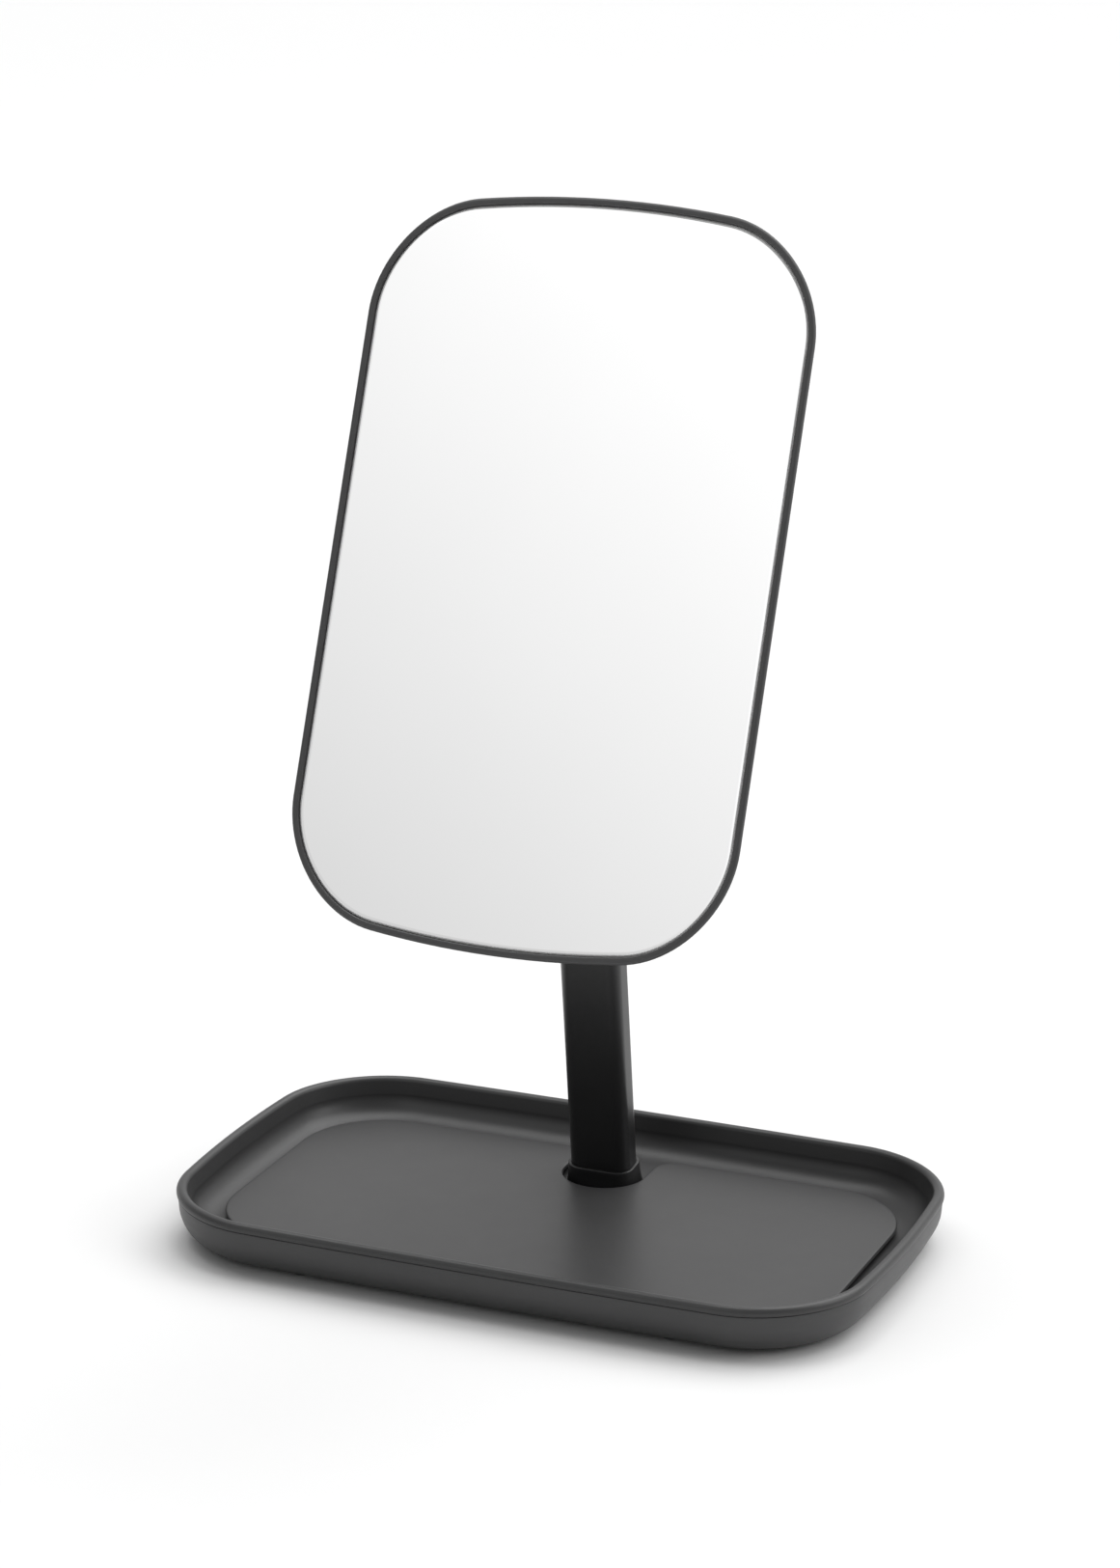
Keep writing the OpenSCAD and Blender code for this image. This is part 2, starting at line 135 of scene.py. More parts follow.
class TableMirrorSettings(bpy.types.PropertyGroup):
    """Sizes and colours that a user would change."""

    arc_steps: IntProperty(
        name="Corner steps", description="Segments in each quarter corner of a shell",
        default=24, min=6, max=48,
    )
    side_steps: IntProperty(
        name="Side steps", description="Segments along each bowed side of a shell", default=14, min=2, max=40
    )
    mat_round: FloatProperty(
        name="Mat edge", description="Rounding of the mat's upper edge", default=0.7 * MM, unit="LENGTH"
    )
    mat_undercut: FloatProperty(
        name="Mat undercut", description="How far the mat's edge slopes in underneath",
        default=1.7 * MM, unit="LENGTH",
    )
    glass_bevel: FloatProperty(
        name="Ground edge", description="Width of the ground band round the glass",
        default=0.75 * MM, unit="LENGTH",
    )
    edge_soften: FloatProperty(
        name="Edge softening", description="Rounding of the hinge's moulded edges",
        default=0.45 * MM, unit="LENGTH",
    )
    tray_colour: FloatVectorProperty(
        name="Tray", description="Colour of the tray and its casing", subtype="COLOR", size=3,
        default=(0.036, 0.036, 0.0365),
    )
    mat_colour: FloatVectorProperty(
        name="Mat", description="Colour of the loose mat", subtype="COLOR", size=3,
        default=(0.04, 0.04, 0.0405),
    )
    stem_colour: FloatVectorProperty(
        name="Stem", description="Colour of the stem's coating", subtype="COLOR", size=3,
        default=(0.0075, 0.0075, 0.008),
    )
    frame_colour: FloatVectorProperty(
        name="Frame", description="Colour of the mirror's frame and back", subtype="COLOR", size=3,
        default=(0.05, 0.05, 0.051),
    )
    key_strength: FloatProperty(
        name="Key light", description="Strength of the soft overhead sun", default=2.2
    )
    sky_strength: FloatProperty(name="Sky", description="Strength of the white surroundings", default=0.5)


# ---------------------------------------------------------------- shader maths


class Wire:
    """A value on its way between shader nodes, which Python's operators can work on."""

    def __init__(self, finish, socket):
        self.finish = finish
        self.socket = socket

    def maths(self, operation, *values):
        return self.finish.node("ShaderNodeMath", {"operation": operation}, dict(enumerate(values)))

    def __add__(self, other):
        return self.maths("ADD", self, other)

    def __mul__(self, other):
        return self.maths("MULTIPLY", self, other)

    __radd__ = __add__
    __rmul__ = __mul__

    def step(self, low, high):
        """Smooth rise from 0 at low to 1 at high."""
        settings = {"interpolation_type": "SMOOTHSTEP"}
        inputs = {"Value": self, "From Min": low, "From Max": high}
        return self.finish.node("ShaderNodeMapRange", settings, inputs)


class Finish:
    """Node tree of one material, which ends in a Principled shader."""

    def __init__(self, name, **sockets):
        self.material = bpy.data.materials.new(name)
        self.material.use_nodes = True
        self.tree = self.material.node_tree
        self.shader = next(n for n in self.tree.nodes if n.type == "BSDF_PRINCIPLED")
        self.set(**sockets)

    def set(self, **sockets):
        """Feeds the Principled shader; Base_Color names the socket Base Color."""
        for name, value in sockets.items():
            self.feed(self.shader.inputs[name.replace("_", " ")], value)
        return self

    def feed(self, socket, value):
        if isinstance(value, Wire):
            self.tree.links.new(value.socket, socket)
        else:
            socket.default_value = value

    def node(self, kind, settings=None, inputs=None, output=0):
        made = self.tree.nodes.new(kind)
        for key, value in (settings or {}).items():
            setattr(made, key, value)
        for key, value in (inputs or {}).items():
            self.feed(made.inputs[key], value)
        return Wire(self, made.outputs[output])

    def place(self):
        """Where a point of the piece is, in metres, in the object's own space."""
        return self.node("ShaderNodeTexCoord", output="Object")

    def noise(self, size, detail=2.0, rough=0.5, vector=None):
        """Noise about 0.5, whose grains are size metres across."""
        inputs = {"Vector": vector or self.place(), "Scale": 1 / size, "Detail": detail, "Roughness": rough}
        return self.node("ShaderNodeTexNoise", {}, inputs)

    def shade(self, colour, factor):
        """Colour made lighter or darker by a factor that varies over the surface."""
        grey = self.node("ShaderNodeCombineXYZ", {}, {0: factor, 1: factor, 2: factor})
        return self.node("ShaderNodeVectorMath", {"operation": "MULTIPLY"}, {0: tuple(colour), 1: grey})

    def blend(self, low, high, factor):
        sockets = {0: factor, 6: colour4(low) if not isinstance(low, Wire) else low}
        sockets[7] = colour4(high) if not isinstance(high, Wire) else high
        return self.node("ShaderNodeMix", {"data_type": "RGBA"}, sockets, 2)

    def bump(self, height, distance, strength=1.0):
        return self.node("ShaderNodeBump", {}, {"Height": height, "Distance": distance, "Strength": strength})


def colour4(colour):
    return (*colour, 1.0)


# ---------------------------------------------------------------- finishes


def soft_touch(name, colour, grain=0.18 * MM, depth=0.012 * MM, rough=0.5):
    """Moulded plastic with a spark-eroded grain, faint flow clouds and rubbed patches."""
    finish = Finish(name, Specular_IOR_Level=0.42)
    clouds = finish.noise(34 * MM, 3.0, 0.55)
    speckle = finish.noise(grain, 2.0, 0.6)
    rubbed = finish.noise(11 * MM, 4.0, 0.6)
    finish.set(
        Base_Color=finish.shade(colour, 0.86 + clouds * 0.16 + speckle * 0.12),
        Roughness=(rough - 0.07) + rubbed * 0.08 + speckle * 0.06,
        Normal=finish.bump(speckle, depth),
    )
    return finish.material


def powder_coat(name, colour):
    """Satin coating on metal: fine orange peel, with the gloss a little uneven."""
    finish = Finish(name, Specular_IOR_Level=0.5, Coat_Weight=0.12, Coat_Roughness=0.28)
    peel = finish.noise(0.5 * MM, 2.0, 0.5)
    patches = finish.noise(18 * MM, 2.0, 0.5)
    finish.set(
        Base_Color=finish.shade(colour, 0.85 + patches * 0.3),
        Roughness=0.3 + patches * 0.1 + peel * 0.04,
        Normal=finish.bump(peel, 0.01 * MM),
    )
    return finish.material


def silvering(name):
    """Silvered float glass, with the faintest haze."""
    finish = Finish(name, Metallic=1.0, Coat_Weight=0.2, Coat_Roughness=0.0)
    haze = finish.noise(60 * MM, 2.0, 0.5)
    finish.set(
        Base_Color=finish.shade((0.96, 0.96, 0.96), 0.99 + haze * 0.02),
        Roughness=0.004 + haze * 0.008,
    )
    return finish.material


def ground_edge(name):
    """Ground band round the glass: frosted, with small chips; its bright near-white colour is partly a
    painted highlight of the polished edge.
    """
    finish = Finish(name, Metallic=0.1, Specular_IOR_Level=0.6)
    along = finish.noise(1.3 * MM, 3.0, 0.7)
    chips = finish.noise(3.1 * MM, 5.0, 0.8).step(0.63, 0.7)
    grind = finish.noise(0.12 * MM, 1.0, 0.5)
    finish.set(
        # Painted highlight: the near-white base colour stands partly for the light caught in the polished
        # edge; the grey patches are chips.
        Base_Color=finish.blend((0.97, 0.97, 0.97), (0.4, 0.4, 0.4), chips * 0.8),
        Roughness=0.2 + along * 0.25 + chips * 0.3,
        Normal=finish.bump(grind + chips, 0.03 * MM, 0.6),
    )
    return finish.material


def plated_steel(name, tint=(0.62, 0.62, 0.63)):
    """Zinc-plated steel, with a fine grain and a clouded gloss."""
    finish = Finish(name, Metallic=1.0)
    clouds = finish.noise(2.4 * MM, 4.0, 0.6)
    grain = finish.noise(0.16 * MM, 2.0, 0.5)
    finish.set(
        Base_Color=finish.shade(tint, 0.85 + clouds * 0.25),
        Roughness=0.24 + clouds * 0.2,
        Normal=finish.bump(grain, 0.01 * MM),
    )
    return finish.material


def moulded(name, colour, rough, grain=0.3 * MM, depth=0.02 * MM):
    """Plain moulding or foam, coarser than the shells."""
    finish = Finish(name, Specular_IOR_Level=0.35)
    speckle = finish.noise(grain, 3.0, 0.6)
    clouds = finish.noise(7 * MM, 2.0, 0.5)
    finish.set(
        Base_Color=finish.shade(colour, 0.8 + clouds * 0.2 + speckle * 0.2),
        Roughness=(rough - 0.06) + speckle * 0.12,
        Normal=finish.bump(speckle, depth),
    )
    return finish.material


_finishes = {}
# Painted light: the casing's colour is the tray's colour made this many times lighter, a lit copy of the same
# plastic that brightens the shaded front wall.
CASING_PAINTED_LIGHT = 1.4


def finish_for(name):
    """Each finish is made once, from the settings."""
    if name not in _finishes:
        s = bpy.context.scene.table_mirror
        makers = {
            "tray_plastic": lambda: soft_touch(name, s.tray_colour, rough=0.4),
            # Painted light: the casing is the tray's plastic, painted lighter.
            "casing_plastic_painted_lighter": lambda: soft_touch(name, [CASING_PAINTED_LIGHT * c for c in s.tray_colour], rough=0.42),
            "mat_plastic": lambda: soft_touch(name, s.mat_colour, grain=0.25 * MM, rough=0.38),
            "frame_plastic": lambda: soft_touch(name, s.frame_colour, rough=0.46),
            "back_plastic": lambda: soft_touch(name, s.frame_colour, 0.4 * MM, 0.03 * MM, 0.6),
            "hinge_plastic": lambda: soft_touch(name, (0.016, 0.016, 0.0165), rough=0.45),
            "socket_plastic": lambda: soft_touch(name, (0.013, 0.013, 0.0135), rough=0.42),
            "stem_coating": lambda: powder_coat(name, s.stem_colour),
            "silvering": lambda: silvering(name),
            "ground_edge": lambda: ground_edge(name),
            "plated_steel": lambda: plated_steel(name),
            "raw_steel": lambda: plated_steel(name, (0.4, 0.4, 0.41)),
            "foot_rubber": lambda: moulded(name, (0.02, 0.02, 0.021), 0.8, 0.5 * MM, 0.06 * MM),
            "nylon": lambda: moulded(name, (0.72, 0.71, 0.68), 0.4),
            "foam": lambda: moulded(name, (0.7, 0.69, 0.66), 0.9, 0.7 * MM, 0.2 * MM),
        }
        _finishes[name] = makers[name]()
    return _finishes[name]


# ---------------------------------------------------------------- shapes


def settings():
    return bpy.context.scene.table_mirror


def arc(centre, radii, start, end, steps):
    """Points on an ellipse between two angles in degrees, as [inset, height] pairs."""
    angles = np.radians(np.linspace(start, end, steps + 1))
    return [(centre[0] + radii[0] * math.cos(a), centre[1] + radii[1] * math.sin(a)) for a in angles]


def round_rect(width, depth, radius, side_steps=1):
    """Rounded rectangle as an anticlockwise array of points, alike in number at any size."""
    x, y = width / 2 - radius, depth / 2 - radius
    steps = settings().arc_steps
    corners = [(x, y, 0), (-x, y, 90), (-x, -y, 180), (x, -y, 270)]
    points = []
    for cx, cy, start in corners:
        points += arc((cx, cy), (radius, radius), start, start + 90, steps)
        last = np.array(points[-1])
        following = corners[(corners.index((cx, cy, start)) + 1) % 4]
        turn = math.radians(start + 90)
        nearest = np.array([following[0] + radius * math.cos(turn), following[1] + radius * math.sin(turn)])
        points += [tuple(last + (nearest - last) * k / side_steps) for k in range(1, side_steps)]
    return np.array(points)


def bowed_rect(width, depth, radius, end_bow, side_bow):
    """Rounded rectangle whose ends and long sides bow outwards, within width by depth."""
    points = round_rect(width, depth, radius, settings().side_steps)
    x, y = points[:, 0], points[:, 1]
    across = np.clip(x / (width / 2 - radius), -1, 1)
    along = np.clip(y / (depth / 2 - radius), -1, 1)
    bowed_x = x - across * end_bow * (np.abs(y) / (depth / 2)) ** 2
    bowed_y = y - along * side_bow * (np.abs(x) / (width / 2)) ** 2
    return np.stack([bowed_x, bowed_y], 1)


def tray_outline(inset):
    radius = max(TRAY_CORNER - inset, 3 * MM)
    return bowed_rect(TRAY_SIZE[0] - 2 * inset, TRAY_SIZE[1] - 2 * inset, radius, *TRAY_BOW)


def mirror_outline(inset):
    return bowed_rect(MIRROR_W - 2 * inset, MIRROR_H - 2 * inset, MIRROR_CORNER - inset, 0, MIRROR_BOW)


def rings(outline, profile):
    """Rings through [inset, height] pairs, where outline gives the plan shape at an inset."""
    return [[(x, y, height) for x, y in outline(inset)] for inset, height in profile]


def in_stem():
    """Frame of the stem: its foot at the origin, +Z along it."""
    return Matrix.Translation(STEM_FOOT) @ Matrix.Rotation(STEM_LEAN, 4, "X")


def in_mirror():
    """Frame of the mirror: its face in the XY plane, +Z towards the user."""
    turn = Matrix.Rotation(math.pi / 2 - MIRROR_TILT, 4, "X")
    return Matrix.Translation(PIVOT) @ turn @ Matrix.Translation((0, 0, HINGE_DEPTH))


def mesh_object(name, mesh):
    made = bpy.data.objects.new(name, mesh)
    bpy.context.scene.collection.objects.link(made)
    return made


def smooth(mesh, angle=32):
    """Smooth shading, with edges sharper than the angle kept."""
    mesh.polygons.foreach_set("use_smooth", [True] * len(mesh.polygons))
    mesh.set_sharp_from_angle(angle=math.radians(angle))


def skin(name, loops, closed=False, matrix=None):
    """Surface through equal rings: capped at both ends, or closed on itself like a hoop."""
    shape = bmesh.new()
    rows = [[shape.verts.new(point) for point in loop] for loop in loops]
    pairs = list(zip(rows, rows[1:])) + ([(rows[-1], rows[0])] if closed else [])
    for low, high in pairs:
        for i in range(len(low)):
            j = (i + 1) % len(low)
            shape.faces.new((low[i], low[j], high[j], high[i]))
    if not closed:
        shape.faces.new(list(reversed(rows[0])))
        shape.faces.new(rows[-1])
    bmesh.ops.recalc_face_normals(shape, faces=shape.faces)
    mesh = bpy.data.meshes.new(name)
    shape.to_mesh(mesh)
    shape.free()
    if matrix:
        mesh.transform(matrix)
    smooth(mesh)
    return mesh_object(name, mesh)


def apply_modifiers(made):
    """Turns what the modifiers show into a plain mesh."""
    seen = made.evaluated_get(bpy.context.evaluated_depsgraph_get())
    mesh = bpy.data.meshes.new_from_object(seen)
    made.modifiers.clear()
    made.data = mesh
    return made


def drill(made, cutters):
    """Cuts closed cutter objects out of a piece."""
    for cutter in cutters:
        cut = made.modifiers.new("cut", "BOOLEAN")
        cut.object = cutter
        cut.solver = "EXACT"
    apply_modifiers(made)
    for cutter in cutters:
        bpy.data.objects.remove(cutter)
    smooth(made.data)
    return made


def cylinder(name, radius, length, matrix, segments=48):
    ring = arc((0, 0), (radius, radius), 0, 360, segments)[:-1]
    return skin(name, [[(x, y, z) for x, y in ring] for z in (0, length)], matrix=matrix)


def softened(node, width, segments=3):
    """Copy of a CAD node with its doubles merged, flat faces joined and sharp edges rounded."""
    shape = bmesh.new()
    shape.from_mesh(frame["nodes"][node].data)
    bmesh.ops.remove_doubles(shape, verts=shape.verts, dist=0.002 * MM)
    bmesh.ops.dissolve_limit(shape, angle_limit=math.radians(0.8), verts=shape.verts, edges=shape.edges)
    sharp = [e for e in shape.edges if len(e.link_faces) == 2 and e.calc_face_angle(0) > math.radians(35)]
    bmesh.ops.bevel(
        shape, geom=sharp, offset=width, offset_type="OFFSET", segments=segments, profile=0.5,
        affect="EDGES", clamp_overlap=True,
    )
    bmesh.ops.remove_doubles(shape, verts=shape.verts, dist=0.002 * MM)
    bmesh.ops.recalc_face_normals(shape, faces=shape.faces)
    mesh = bpy.data.meshes.new(node + "_soft")
    shape.to_mesh(mesh)
    shape.free()
    smooth(mesh, 30)
    return mesh_object(node + "_soft", mesh)


def finished(piece, body, finish, slot, *nodes):
    """Puts a finish on a piece, lets it ride on its body and stand for its CAD nodes."""
    piece.data.materials.clear()
    piece.data.materials.append(finish_for(finish))
    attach(piece, body)
    if nodes:
        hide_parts(*nodes)
    return piece


def screw_tree():
    """Geometry nodes that set a countersunk, cross-recessed screw on every point, along its axis."""
    tree = bpy.data.node_groups.new("screw_set", "GeometryNodeTree")
    sockets = tree.interface
    sockets.new_socket("Geometry", in_out="INPUT", socket_type="NodeSocketGeometry")
    for name in ("Head radius", "Head height", "Shank radius", "Length", "Recess"):
        sockets.new_socket(name, in_out="INPUT", socket_type="NodeSocketFloat")
    sockets.new_socket("Finish", in_out="INPUT", socket_type="NodeSocketMaterial")
    sockets.new_socket("Geometry", in_out="OUTPUT", socket_type="NodeSocketGeometry")

    def node(kind, inputs=None, **values):
        made = tree.nodes.new(kind)
        for key, value in values.items():
            setattr(made, key, value)
        for key, value in (inputs or {}).items():
            if isinstance(value, bpy.types.NodeSocket):
                tree.links.new(value, made.inputs[key])
            else:
                made.inputs[key].default_value = value
        return made

    given = node("NodeGroupInput").outputs
    depth = node("ShaderNodeMath", {0: given["Head height"], 1: 0.6}, operation="MULTIPLY").outputs[0]
    thick = node("ShaderNodeMath", {0: given["Recess"], 1: 0.24}, operation="MULTIPLY").outputs[0]
    deep = node("ShaderNodeMath", {0: depth, 1: 2.0}, operation="MULTIPLY").outputs[0]
    head = node("GeometryNodeMeshCone", {
        "Vertices": 32, "Radius Top": given["Shank radius"], "Radius Bottom": given["Head radius"],
        "Depth": given["Head height"],
    }).outputs["Mesh"]
    shank = node("GeometryNodeMeshCylinder", {
        "Vertices": 24, "Radius": given["Shank radius"], "Depth": given["Length"],
    }).outputs["Mesh"]
    half = node("ShaderNodeMath", {0: given["Length"], 1: 0.5}, operation="MULTIPLY").outputs[0]
    lift = node("ShaderNodeCombineXYZ", {2: half}).outputs[0]
    shank = node("GeometryNodeTransform", {"Geometry": shank, "Translation": lift}).outputs[0]
    slots = []
    for size in ({0: given["Recess"], 1: thick, 2: deep}, {0: thick, 1: given["Recess"], 2: deep}):
        extent = node("ShaderNodeCombineXYZ", size).outputs[0]
        slots.append(node("GeometryNodeMeshCube", {"Size": extent}).outputs["Mesh"])
    body = node("GeometryNodeMeshBoolean", {"Mesh 2": head}, operation="UNION", solver="EXACT")
    tree.links.new(shank, body.inputs["Mesh 2"])
    body = {"Mesh 1": body.outputs["Mesh"]}
    cut = node("GeometryNodeMeshBoolean", body, operation="DIFFERENCE", solver="EXACT")
    for slot in slots:
        tree.links.new(slot, cut.inputs["Mesh 2"])
    axis = node("GeometryNodeInputNamedAttribute", {"Name": "axis"}, data_type="FLOAT_VECTOR").outputs[0]
    turn = node("FunctionNodeAlignRotationToVector", {"Vector": axis}, axis="Z").outputs[0]
    spread = node("GeometryNodeInstanceOnPoints", {
        "Points": given["Geometry"], "Instance": cut.outputs["Mesh"], "Rotation": turn,
    }).outputs[0]
    real = node("GeometryNodeRealizeInstances", {"Geometry": spread}).outputs[0]
    painted = node("GeometryNodeSetMaterial", {"Geometry": real, "Material": given["Finish"]}).outputs[0]
    node("NodeGroupOutput", {"Geometry": painted})
    return tree


def screws(name, places, axis, finish, **sizes):
    """Set of screws whose head faces are at the places, pointing along axis."""
    tree = bpy.data.node_groups.get("screw_set") or screw_tree()
    mesh = bpy.data.meshes.new(name)
    mesh.from_pydata([tuple(p) for p in places], [], [])
    pointing = mesh.attributes.new("axis", "FLOAT_VECTOR", "POINT")
    pointing.data.foreach_set("vector", list(axis) * len(places))
    made = mesh_object(name, mesh)
    modifier = made.modifiers.new("screws", "NODES")
    modifier.node_group = tree
    values = {key.replace("_", " ").capitalize(): value for key, value in sizes.items()}
    values["Finish"] = finish_for(finish)
    for item in tree.interface.items_tree:
        if item.in_out == "INPUT" and item.name in values:
            modifier[item.identifier] = values[item.name]
    apply_modifiers(made)
    if made.data.attributes.get("axis"):
        made.data.attributes.remove(made.data.attributes["axis"])
    smooth(made.data)
    return made


# ---------------------------------------------------------------- operators


class BuildTray(bpy.types.Operator):
    """Upper dish, with its rolled lip and deep fillet"""

    bl_idname = "table_mirror.tray"
    bl_label = "Tray"

    def execute(self, context):
        floor = MAT_LOW.z - SEAT
        lip_r = LIP_W / 2
        top = RIM_Z - lip_r - 3.5 * MM
        inset = LIP_W + WALL_LEAN + FLOOR_FILLET
        fall = top - floor
        ledge = RIM_Z - LIP_DROP
        skirt = LIP_W + 0.6 * MM - TRAY_WALL
        under = arc((inset, top), (-FLOOR_FILLET - TRAY_WALL, -fall - TRAY_WALL), 90, 0, 12)
        lip = arc((lip_r, RIM_Z - lip_r), (-lip_r, lip_r), -30, 180, 18)
        inside = arc((inset, top), (-FLOOR_FILLET, -fall), 0, 90, 20)
        profile = under + [(skirt, ledge), (0.55 * MM, ledge)] + lip + inside + [(inset + 1.5 * MM, floor)]
        piece = skin("tray_dish", rings(tray_outline, profile))
        finished(piece, "base", "tray_plastic", "tray_plastic", "tray_shell")
        return {"FINISHED"}


class BuildCasing(bpy.types.Operator):
    """Lower casing, with pockets for the feet and the screws"""

    bl_idname = "table_mirror.casing"
    bl_label = "Casing"

    def execute(self, context):
        foot, seam = BASE_LOW.z, BASE_HIGH.z
        across, up = BASE_CORNER
        edge, top_inset = 0.3 * MM, 0.45 * MM
        corner = (across + 0.7 * MM, foot + up)
        outer = arc(corner, (-across, -up), 90, 0, 20)
        rounded = arc((top_inset + edge, seam - edge), (-edge, edge), 0, 90, 3)
        inner = arc(corner, (BASE_WALL - across, BASE_FLOOR - up), 0, 90, 12)
        profile = [(corner[0] + 1.5 * MM, foot)] + outer + rounded + [(top_inset + BASE_WALL, seam)] + inner
        piece = skin("base_casing", rings(tray_outline, profile))
        pockets = [(x, y, FOOT_R + 0.5 * HOLE_PLAY, FOOT_POCKET) for x, y in foot_places()]
        pockets += [(x, y, SCREW_HEAD_R + HOLE_PLAY, POCKET) for x, y in base_screw_places()]
        pockets.append((0, STEM_FOOT.y, BOLT_HEAD_R + 1.5 * HOLE_PLAY, POCKET))
        start = foot - 1 * MM
        cutters = [cylinder("cut", r, deep, Matrix.Translation((x, y, start))) for x, y, r, deep in pockets]
        drill(piece, cutters)
        # The casing carries the tray's plastic painted lighter, as painted light on its front wall.
        finished(piece, "base", "casing_plastic_painted_lighter", "base_plastic", "base_shell")
        return {"FINISHED"}


def foot_places():
    x, y = FEET_HIGH.x - FOOT_R, FEET_HIGH.y - FOOT_R
    return [(sx * x, sy * y) for sx in (-1, 1) for sy in (-1, 1)]


def base_screw_places():
    side = TRAY_SIZE[1] / 2 - SCREW_INSET - TRAY_BOW[1] * (2 * SCREW_ACROSS / TRAY_SIZE[0]) ** 2
    places = [(sx * SCREW_ACROSS, sy * side) for sx in (-1, 1) for sy in (-1, 1)]
    return places + [(sx * (TRAY_SIZE[0] / 2 - SCREW_INSET), 0) for sx in (-1, 1)]


def mat_outline(inset):
    """Rounded rectangle with a round-ended notch in its back edge, anticlockwise."""
    steps = settings().arc_steps
    half_w, half_d = MAT_HIGH.x - inset, (MAT_HIGH.y - MAT_LOW.y) / 2 - inset
    r = MAT_CORNER - inset
    x, y = half_w - r, half_d - r
    flare = NOTCH_FLARE - inset
    flare_x, flare_y = NOTCH_R + NOTCH_FLARE, half_d + inset - NOTCH_FLARE
    notch = NOTCH_R + inset
    points = arc((x, -y), (r, r), -90, 0, steps) + arc((x, y), (r, r), 0, 90, steps)
    points += arc((flare_x, flare_y), (flare, flare), 90, 180, 10)
    points += arc((0, STEM_FOOT.y), (notch, notch), 0, -180, 2 * steps)
    points += arc((-flare_x, flare_y), (flare, flare), 0, 90, 10)
    return points + arc((-x, y), (r, r), 90, 180, steps) + arc((-x, -y), (r, r), 180, 270, steps)


class BuildMat(bpy.types.Operator):
    """Loose mat, with a rounded upper edge and an undercut side"""

    bl_idname = "table_mirror.mat"
    bl_label = "Mat"

    def execute(self, context):
        s = settings()
        low, high = MAT_LOW.z, MAT_HIGH.z
        thick = high - low
        r = s.mat_round
        undercut = s.mat_undercut
        profile = [(undercut + 1 * MM, low), (undercut, low), (undercut * 0.85, low + 0.2 * thick)]
        profile += [(0.2 * MM, low + 0.5 * thick), (0.0, low + 0.6 * thick)]
        profile += arc((r, high - r), (-r, r), 0, 90, 6) + [(r + 1 * MM, high)]
        piece = skin("mat_sheet", rings(mat_outline, profile))
        finished(piece, "mat", "mat_plastic", "mat_plastic", "tray_mat")
        return {"FINISHED"}


def stem_outline(grow):
    width = STEM_HIGH.x - STEM_LOW.x
    return round_rect(width + 2 * grow, STEM_DEPTH + 2 * grow, STEM_CORNER + grow)


def trim_foot(hoop):
    """Cuts a leaning hoop off level with the tray's floor and closes it there."""
    cut = bmesh.new()
    cut.from_mesh(hoop.data)
    geometry = cut.verts[:] + cut.edges[:] + cut.faces[:]
    plane = {"plane_co": STEM_FOOT, "plane_no": (0, 0, 1), "clear_inner": True}
    edge = bmesh.ops.bisect_plane(cut, geom=geometry, **plane)["geom_cut"]
    bmesh.ops.bridge_loops(cut, edges=[e for e in edge if isinstance(e, bmesh.types.BMEdge)])
    bmesh.ops.recalc_face_normals(cut, faces=cut.faces)
    cut.to_mesh(hoop.data)
    cut.free()
    smooth(hoop.data)


class BuildStem(bpy.types.Operator):
    """Leaning post and the flared collar round its foot"""

    bl_idname = "table_mirror.stem"
    bl_label = "Stem"

    def execute(self, context):
        foot = 2 * MM
        top = (PIVOT - STEM_FOOT).length - STEM_SHORT
        profile = [(0, foot), (0, top * 0.5), (0, top - 0.4 * MM)]
        profile += [(-0.12 * MM, top - 0.12 * MM), (-0.4 * MM, top), (-STEM_WALL, top), (-STEM_WALL, foot)]
        piece = skin("stem_post", rings(stem_outline, profile), closed=True, matrix=in_stem())
        finished(piece, "base", "stem_coating", "stem_coating", "stem")

        collar_foot, collar_top = -2 * MM, 7.6 * MM
        spread, flare, bevel = 1.1 * MM, 1.3 * MM, 0.35 * MM
        outside = []
        for up in np.linspace(0, 1, 9):
            height = collar_foot + (collar_top - collar_foot - bevel) * up
            outside.append((spread + flare * (1 - up) ** 2, height))
        rim = arc((spread - bevel, collar_top - bevel), (bevel, bevel), 0, 90, 4)[1:]
        inside = [(SEAT, collar_top), (SEAT, collar_foot)]
        collar = skin("collar", rings(stem_outline, outside + rim + inside), closed=True, matrix=in_stem())
        trim_foot(collar)
        finished(collar, "base", "socket_plastic", "socket_plastic", "stem_socket")
        return {"FINISHED"}


